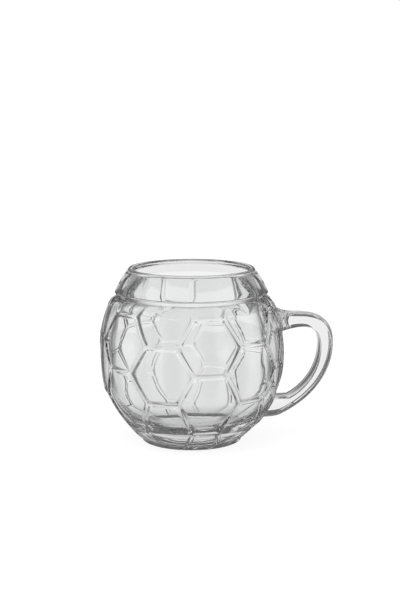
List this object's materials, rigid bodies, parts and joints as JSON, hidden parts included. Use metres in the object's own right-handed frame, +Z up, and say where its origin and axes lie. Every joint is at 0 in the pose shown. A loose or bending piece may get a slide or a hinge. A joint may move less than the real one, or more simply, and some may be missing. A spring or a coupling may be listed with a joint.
{
  "type": "beer mug",
  "caption": "Clear glass beer mug with a ball shaped bowl, raised honeycomb ribs, a conical collar and a loop handle.",
  "frame": {"origin": "centre of the flat underside, on the bowl's axis, on the surface that the mug stands on", "axes": "+Z up along the bowl's axis, +X from the axis towards the handle, +Y completes a right-handed frame"},
  "size_m": [0.143, 0.1134, 0.1062],
  "materials": {
    "clear_glass": "polished, fire finished soda-lime glass"
  },
  "bodies": {
    "root": {"bowl": "clear_glass", "handle": "clear_glass"}
  },
  "joints": []
}
